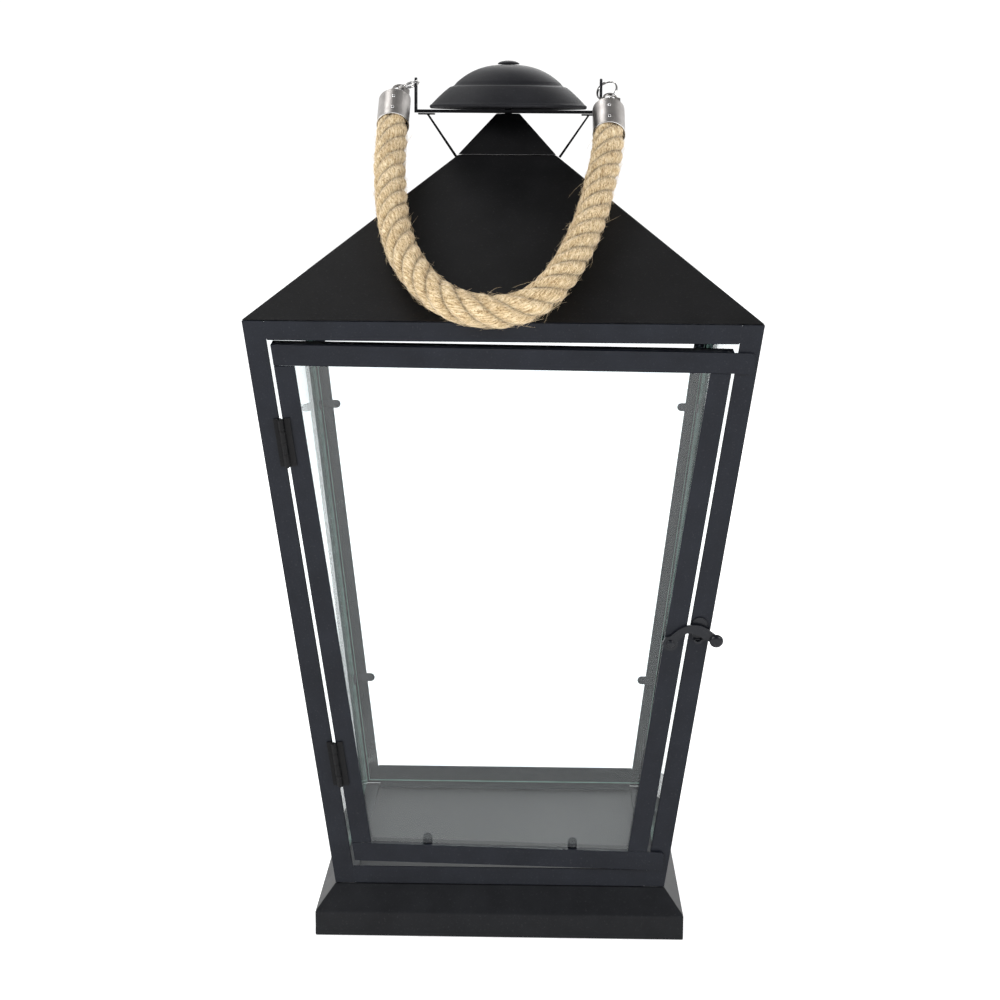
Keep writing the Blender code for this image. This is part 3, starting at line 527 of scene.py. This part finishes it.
def make_world():
    """Light from a room that is white behind the object and dim in front and overhead, with a
    plain white backdrop seen directly."""
    world = bpy.data.worlds.new("studio")
    world.use_nodes = True
    tree = world.node_tree
    tree.nodes.clear()
    direction = tree.nodes.new("ShaderNodeTexCoord").outputs["Generated"]
    split = tree.nodes.new("ShaderNodeSeparateXYZ")
    tree.links.new(direction, split.inputs["Vector"])
    half = add(tree, "ShaderNodeMapRange")
    half.inputs["From Min"].default_value = -1.0
    tree.links.new(split.outputs["Y"], half.inputs["Value"])
    depth = ramp(tree, half.outputs["Result"],
                 ((0.30, (0.10, 0.115, 0.15)), (0.62, grey(BACKDROP))))
    rise = ramp(tree, split.outputs["Z"], ((0.45, grey(1.0)), (0.85, grey(0.28))))
    room = tree.nodes.new("ShaderNodeBackground")
    tree.links.new(blend(tree, "MULTIPLY", 1.0, depth, rise), room.inputs["Color"])
    backdrop = add(tree, "ShaderNodeBackground", Color=(*grey(BACKDROP), 1.0))
    seen = tree.nodes.new("ShaderNodeLightPath").outputs["Is Camera Ray"]
    both = mix_shaders(tree, seen, room.outputs["Background"], backdrop.outputs["Background"])
    output = tree.nodes.new("ShaderNodeOutputWorld")
    tree.links.new(both, output.inputs["Surface"])
    bpy.context.scene.world = world


def make_softbox(name, location, size, power, target):
    data = bpy.data.lights.new(name, "AREA")
    data.shape = "DISK"
    data.size = size
    data.energy = power
    lamp = bpy.data.objects.new(name, data)
    lamp.location = location
    towards = Vector(target) - Vector(location)
    lamp.rotation_euler = towards.to_track_quat("-Z", "Y").to_euler()
    bpy.context.scene.collection.objects.link(lamp)


def make_camera():
    """A long lens a little to the right of the door, looking slightly down."""
    flat = cos(CAMERA_PITCH)
    ahead = Vector((sin(CAMERA_YAW) * flat, cos(CAMERA_YAW) * flat, -sin(CAMERA_PITCH)))
    right = Vector((cos(CAMERA_YAW), -sin(CAMERA_YAW), 0.0))
    up = right.cross(ahead)
    rolled_right = right * cos(CAMERA_ROLL) + up * sin(CAMERA_ROLL)
    rolled_up = up * cos(CAMERA_ROLL) - right * sin(CAMERA_ROLL)
    data = bpy.data.cameras.new("camera")
    data.sensor_width = 36.0
    data.lens = CAMERA_LENS
    data.clip_start = 0.05
    camera = bpy.data.objects.new("camera", data)
    turn = Matrix((rolled_right, rolled_up, -ahead)).transposed()
    camera.matrix_world = Matrix.Translation(CAMERA_PLACE) @ turn.to_4x4()
    bpy.context.scene.collection.objects.link(camera)
    bpy.context.scene.camera = camera


def make_stage():
    bpy.context.scene.view_settings.view_transform = "Standard"
    make_floor()
    make_world()
    for softbox in SOFTBOXES:
        make_softbox(*softbox)
    make_camera()


# ---- rope -----------------------------------------------------------------------------------
def handle_place(x, down, n=0.0):
    """A point given across, down the roof's slope and out from it, from the pivot line."""
    return PIVOT + Vector((x, 0.0, 0.0)) + DOWN * down + NORMAL * n


def smooth_route(points, steps):
    """Points along a Catmull-Rom curve through the given points."""
    route = []
    last = len(points) - 1
    for i in range(last):
        before, after = points[max(i - 1, 0)], points[min(i + 2, last)]
        start, end = points[i], points[i + 1]
        for step in range(steps):
            t = step / steps
            route.append(tuple(0.5 * (2 * b + (c - a) * t + (2 * a - 5 * b + 4 * c - d) * t ** 2
                                      + (3 * b - a - 3 * c + d) * t ** 3)
                               for a, b, c, d in zip(before, start, end, after)))
    route.append(tuple(points[last]))
    return route


def even_path(points, pitch):
    """The same line with a point every pitch along it."""
    lengths = [0.0]
    for first, second in zip(points, points[1:]):
        lengths.append(lengths[-1] + (second - first).length)
    total = lengths[-1]
    count = max(2, round(total / pitch))
    path = []
    j = 0
    for i in range(count + 1):
        target = total * i / count
        while j < len(points) - 2 and lengths[j + 1] < target:
            j += 1
        share = (target - lengths[j]) / (lengths[j + 1] - lengths[j])
        path.append(points[j].lerp(points[j + 1], share))
    return path, total


def strand_profile(angle, reach=0.40):
    """Share of the rope's radius at an angle from a strand's crest, for round strands pressed
    together with their middles at a share, reach, of the radius."""
    size = 1.0 - reach
    share = reach * cos(angle) + sqrt(size * size - (reach * sin(angle)) ** 2)
    edge = pi / STRANDS
    groove = reach * cos(edge) + sqrt(size * size - (reach * sin(edge)) ** 2)
    return groove + sqrt((share - groove) ** 2 + GROOVE_FILL ** 2)


def rope_frame(path, i):
    """Directions along the rope and across it at a point of its path."""
    ahead = (path[min(i + 1, len(path) - 1)] - path[max(i - 1, 0)]).normalized()
    return ahead, NORMAL.cross(ahead)


def make_rope(ferrules):
    """The rope and its loose fibres; the ferrules are listed with the fibres, but nothing more is
    done with them.
    """
    dense = [handle_place(x, down) for x, down in smooth_route(ROPE_ROUTE, ROUTE_STEPS)]
    path, length = even_path(dense, ROPE_POINT_PITCH)
    rope = make_rope_mesh(path, length)
    place_piece(rope, "handle", "jute_rope", "handle_rope")
    extras = [make_fibres(path, length)] + ferrules


def make_rope_mesh(path, length):
    """Laid strands with yarn and fibre relief, carrying the fibre direction and groove depth."""
    builder = bmesh.new()
    space_layer = builder.verts.layers.float_vector.new("fibre_space")
    crest_layer = builder.verts.layers.float.new("crest")
    lobe = tau / STRANDS
    rings = []
    for i, middle in enumerate(path):
        along = length * i / (len(path) - 1)
        drift = 0.30 * noise.noise(Vector((along * 14.0, 0.7, 5.0)))
        twist = tau * along / ROPE_LAY + drift
        side = rope_frame(path, i)[1]
        free = min(along - LEFT_COVER, length - RIGHT_COVER - along)
        swell = 1.0 + SWELL_SHARE * min(max(free / SWELL_RUN, 0.0), 1.0)
        swell *= 1.0 + 0.02 * noise.noise(Vector((along * 45.0, 3.1, 0.0)))
        # the strands open up towards the bend
        bend = 1.0 - abs(2.0 * along / length - 1.0)
        loose = 0.05 * noise.noise(Vector((along * 30.0, 9.0, 2.0)))
        reach = 0.33 + 0.13 * min(bend * 1.25, 1.0) + loose
        depth = 1.0 - strand_profile(lobe / 2, reach)
        ring = []
        for k in range(ROPE_SIDES):
            angle = tau * k / ROPE_SIDES
            from_crest = (angle + lobe / 2) % lobe - lobe / 2
            share = strand_profile(from_crest, reach)
            spot = angle + twist
            strand = int((angle + lobe / 2) // lobe) % STRANDS
            lean = spot + along * YARN_LEAN
            fibre = Vector((ROPE_RADIUS * cos(lean), ROPE_RADIUS * sin(lean),
                            along * 0.20 + strand * 0.05))
            fine = (noise.noise(fibre * 430.0) * YARN_RELIEF
                    + noise.noise(fibre * 1150.0) * FIBRE_RELIEF)
            lump_place = Vector((cos(spot), sin(spot), along * 90.0 + strand * 7.0))
            lumps = noise.noise(lump_place) * LUMP_RELIEF
            radius = (ROPE_RADIUS - 0.0001) * share * swell + fine + lumps
            vertex = builder.verts.new(middle + radius * (cos(spot) * side + sin(spot) * NORMAL))
            vertex[space_layer] = fibre
            # crest: height within a strand, which the rope's look turns into painted shade in the
            # grooves
            vertex[crest_layer] = 1.0 - (1.0 - share) / depth
            ring.append(vertex)
        rings.append(ring)
    join_rings(builder, rings)
    builder.faces.new(rings[0])
    builder.faces.new(rings[-1])
    return mesh_object("rope", builder, looks["jute_rope"], None)


def make_fibres(path, length):
    """Loose fibres standing on the strands, none of them under the rope or inside a ferrule."""
    builder = bmesh.new()
    last = len(path) - 1
    lobe = tau / STRANDS
    for kind in FIBRE_KINDS:
        steps = kind["steps"]
        for _ in range(kind["count"]):
            i = random.randint(30, last - 30)
            ahead, side = rope_frame(path, i)
            angle = random.uniform(0.0, tau)
            out = cos(angle) * side + sin(angle) * NORMAL
            twist = tau * (length * i / last) / ROPE_LAY
            from_crest = ((angle - twist) + lobe / 2) % lobe - lobe / 2
            start = path[i] + out * (1.04 * ROPE_RADIUS * strand_profile(from_crest) - 0.0001)
            lift = random.uniform(*kind["lift"])
            lean = ahead.cross(out) * random.uniform(-kind["lean"], kind["lean"])
            heading = (ahead * random.choice((-1.0, 1.0)) + lean).normalized()
            heading = (heading + out * lift).normalized()
            curl = Vector([random.uniform(-1, 1) for _ in range(3)]) * random.uniform(0.1, 0.45)
            reach = random.uniform(*kind["reach"])
            line = [start]
            for step in range(steps):
                heading = (heading + curl / steps - out * (0.5 * lift / steps)).normalized()
                line.append(line[-1] + heading * (reach / steps))
            under = max((spot - path[i]).dot(-NORMAL) for spot in line) > FIBRE_DROP
            covered = min((spot - path[0]).dot(DOWN) for spot in line) < LEFT_COVER - 0.004
            if under or covered:
                continue
            taper = [1.0 - 0.6 * step / steps for step in range(steps + 1)]
            tube(builder, line, random.uniform(*kind["radius"]), 3, taper=taper)
    fibres = mesh_object("rope_fibres", builder, looks["jute_fibre"], None)
    return place_piece(fibres, "handle", "jute_rope")


# ---- handle metalwork -------------------------------------------------------------------------
def ring_frame(hand):
    """A split ring's middle and the two directions of its plane."""
    spread = RING_SPREAD[hand]
    down_share = sqrt(1.0 - spread ** 2)
    reach = Vector((hand * spread, 0.0, 0.0)) + DOWN * down_share
    across = Vector((hand * down_share, 0.0, 0.0)) - DOWN * spread
    rise = NORMAL * cos(RING_TURN[hand]) - across * sin(RING_TURN[hand])
    start = PIVOT + Vector((hand * BRACKET_X, 0.0, 0.0))
    offset = RING_OFFSET[hand]
    centre = start + RING_RADIUS * (reach * cos(offset) + rise * sin(offset))
    return centre, reach, rise


def make_split_ring(label, hand):
    """A split ring: wire in two close turns with a short step between them."""
    centre, reach, rise = ring_frame(hand)
    normal = reach.cross(rise)
    steps = 150
    path = []
    for i in range(steps + 1):
        share = i / steps
        angle = tau * RING_TURNS * share + 1.9
        side = -1.0 if share < 0.46 else 1.0 if share > 0.54 else (share - 0.5) / 0.04
        outwards = reach * cos(angle) + rise * sin(angle)
        path.append(centre + outwards * RING_RADIUS + normal * side * RING_WIRE * 0.88)
    builder = bmesh.new()
    ends = [min(1.0, 0.35 + 0.65 * min(i, steps - i) / 3) for i in range(steps + 1)]
    tube(builder, path, RING_WIRE, 10, taper=ends)
    ring = mesh_object(f"split_ring_{label}", builder, looks["ring_steel"], 50.0)
    place_piece(ring, "handle", "ring_steel", "ring_" + label)


def ferrule_points(hand):
    """The ferrule's hole and rim in the handle's plane, and its axis at the rim."""
    chord = 2 * RING_RADIUS * cos(RING_OFFSET[hand])
    hole = (hand * (BRACKET_X + RING_SPREAD[hand] * chord),
            sqrt(1.0 - RING_SPREAD[hand] ** 2) * chord)
    axis = ROPE_ROUTE[0][0] if hand < 0 else ROPE_ROUTE[-1][0]
    return hole, axis


def make_ferrule(label, hand):
    """A ferrule with a bead round its rim and two rivets on its face; returns it and its trim."""
    ferrule = rounded("ferrule_" + label, looks["ferrule_metal"], FERRULE_EDGE_ROUND,
                      segments=2, angle=40.0)
    hole, axis = ferrule_points(hand)
    mouth = hole[1] + FERRULE_LENGTH
    builder = bmesh.new()
    rim = FERRULE_RADIUS - 0.0002
    circle = [handle_place(axis + rim * cos(tau * k / 48), mouth - 0.0003, rim * sin(tau * k / 48))
              for k in range(48)]
    tube(builder, circle, RIM_BEAD, 8, closed=True)
    trim = [mesh_object(f"ferrule_{label}_rim", builder, looks["ring_steel"])]
    for number, back in enumerate(RIVETS_FROM_RIM, 1):
        base = handle_place(axis, mouth - back, FERRULE_RADIUS - 0.0003)
        trim.append(dome(f"ferrule_{label}_rivet_{number}", base, NORMAL, RIVET_RADIUS,
                         RIVET_HEIGHT, looks["ring_steel"]))
    for piece in trim:
        place_piece(piece, "handle", "ferrule_metal")
    return ferrule, trim


def dome(name, base, axis, radius, height, look, around=24, levels=6):
    """A round rivet head standing on a base point."""
    across = axis.orthogonal().normalized()
    other = axis.cross(across)
    builder = bmesh.new()
    rings = []
    for level in range(levels):
        lift = sin(pi / 2 * level / levels)
        size = radius * cos(pi / 2 * level / levels)
        rings.append(ring_of(builder, base + axis * height * lift, size, across, other, around))
    join_rings(builder, rings)
    builder.faces.new(rings[0][::-1])
    builder.faces.new(rings[-1])
    return mesh_object(name, builder, look, 50.0)


# ---- cap --------------------------------------------------------------------------------------
def cap_rise(radius):
    """The cap's height over its rim at a radius."""
    if radius <= CAP_CREASE_RADIUS:
        return CAP_CREASE_RISE + CAP_DOME_RISE * (1.0 - (radius / CAP_CREASE_RADIUS) ** 2.6)
    share = (radius - CAP_CREASE_RADIUS) / (CAP_RADIUS - CAP_CREASE_RADIUS)
    return CAP_CREASE_RISE * (1.0 - share ** 1.25)


def turned(name, profile, look, around, smooth_angle=35.0):
    """A closed profile of (radius, height) turned about the vertical axis."""
    builder = bmesh.new()
    rings = []
    for radius, height in profile:
        rings.append([builder.verts.new((radius * cos(tau * k / around),
                                         radius * sin(tau * k / around), height))
                      for k in range(around)])
    join_rings(builder, rings, closed=True)
    return mesh_object(name, builder, look, smooth_angle)


def make_cap():
    """Spun sheet in two tiers with a softened crease and a rolled rim."""
    hole = CAP_HOLE_RADIUS
    radii = [hole + (CAP_RADIUS - 0.0008 - hole) * i / 90 for i in range(91)]
    outer = []
    for radius in radii:
        height = cap_rise(radius)
        if abs(radius - CAP_CREASE_RADIUS) < 3 * CREASE_SOFTNESS:
            near = [cap_rise(min(max(radius + CREASE_SOFTNESS * s, 0.0), CAP_RADIUS))
                    for s in (-1, -0.5, 0, 0.5, 1)]
            height = sum(near) / 5
        from_hollow = abs(radius - CAP_CREASE_RADIUS - 0.0006)
        hollow = CREASE_HOLLOW * max(0.0, 1.0 - from_hollow / 0.0022)
        outer.append((radius, CAP_RIM_Z + height - hollow))
    centre = (CAP_RADIUS - CAP_ROLL, CAP_RIM_Z - 0.0001)
    lip = [(centre[0] + CAP_ROLL * cos(a), centre[1] + CAP_ROLL * sin(a))
           for a in (radians(50 - 26 * i) for i in range(11))]
    inner = [(radius, height - CAP_SHEET * 1.15) for radius, height in outer[-6::-1]]
    cap = turned("cap_look", outer[:-1] + lip + inner, looks["cap_paint"], 144)
    place_piece(cap, "lantern", "roof_paint", "cap")


# ---- glazing ----------------------------------------------------------------------------------
def make_pane(node):
    """A pane with ground edges; its narrow faces show the green of the glass."""
    piece = rounded(node, looks["clear_glass"], PANE_EDGE_ROUND, segments=2, angle=40.0)
    piece.data.materials.append(looks["glass_edge"])
    areas = sorted(face.area for face in piece.data.polygons)
    broad = areas[-1] * 0.5
    for face in piece.data.polygons:
        face.material_index = 0 if face.area > broad else 1


def frame_half(z):
    """Half the frame's width at a height."""
    foot = FOOT_WIDTH / 2
    return foot + (EAVE_WIDTH / 2 - foot) * (z - PLINTH_HEIGHT) / (EAVE_Z - PLINTH_HEIGHT)


def make_welds():
    """Dressed weld beads where the rails meet the posts."""
    builder = bmesh.new()
    for turns, side in enumerate(("front", "right", "rear", "left")):
        for level in ("top", "bottom"):
            low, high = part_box(f"rail_{level}_{side}")
            for end in (-1, 1):
                line = []
                for i in range(9):
                    z = low.z + 0.0008 + (high.z - low.z - 0.0016) * i / 8
                    wander = WELD_WANDER * noise.noise(Vector((z * 900.0, turns, end)))
                    x = end * (frame_half(z) - POST_LEG - 0.00015) + wander
                    y = -frame_half(z) + WELD_BEAD - 0.00005
                    for _ in range(turns):
                        x, y = -y, x
                    line.append(Vector((x, y, z)))
                tube(builder, line, WELD_BEAD, 10)
    welds = mesh_object("frame_welds", builder, looks["frame_paint"])
    place_piece(welds, "lantern", "frame_paint")


# ---- the whole ----------------------------------------------------------------------------------
def make_metalwork():
    """Every metal piece except those with a model of their own."""
    done = {"cap", "handle_rope", "ring_left", "ring_right", "ferrule_left", "ferrule_right"}
    for node in sorted(frame["nodes"]):
        if node in done or slot_of[node] == "clear_glass":
            continue
        _, look, width, segments = next(row for row in FINISHES if node.startswith(row[0]))
        rounded(node, looks[look or slot_of[node]], width, segments)


def main():
    make_stage()
    make_metalwork()
    for node in ("glass_left", "glass_right", "glass_rear", "door_glass"):
        make_pane(node)
    make_welds()
    make_cap()
    ferrules, trims = [], []
    for label, hand in (("left", -1), ("right", 1)):
        make_split_ring(label, hand)
        ferrule, trim = make_ferrule(label, hand)
        ferrules.append(ferrule)
        trims += trim
    make_rope(ferrules + trims)


main()
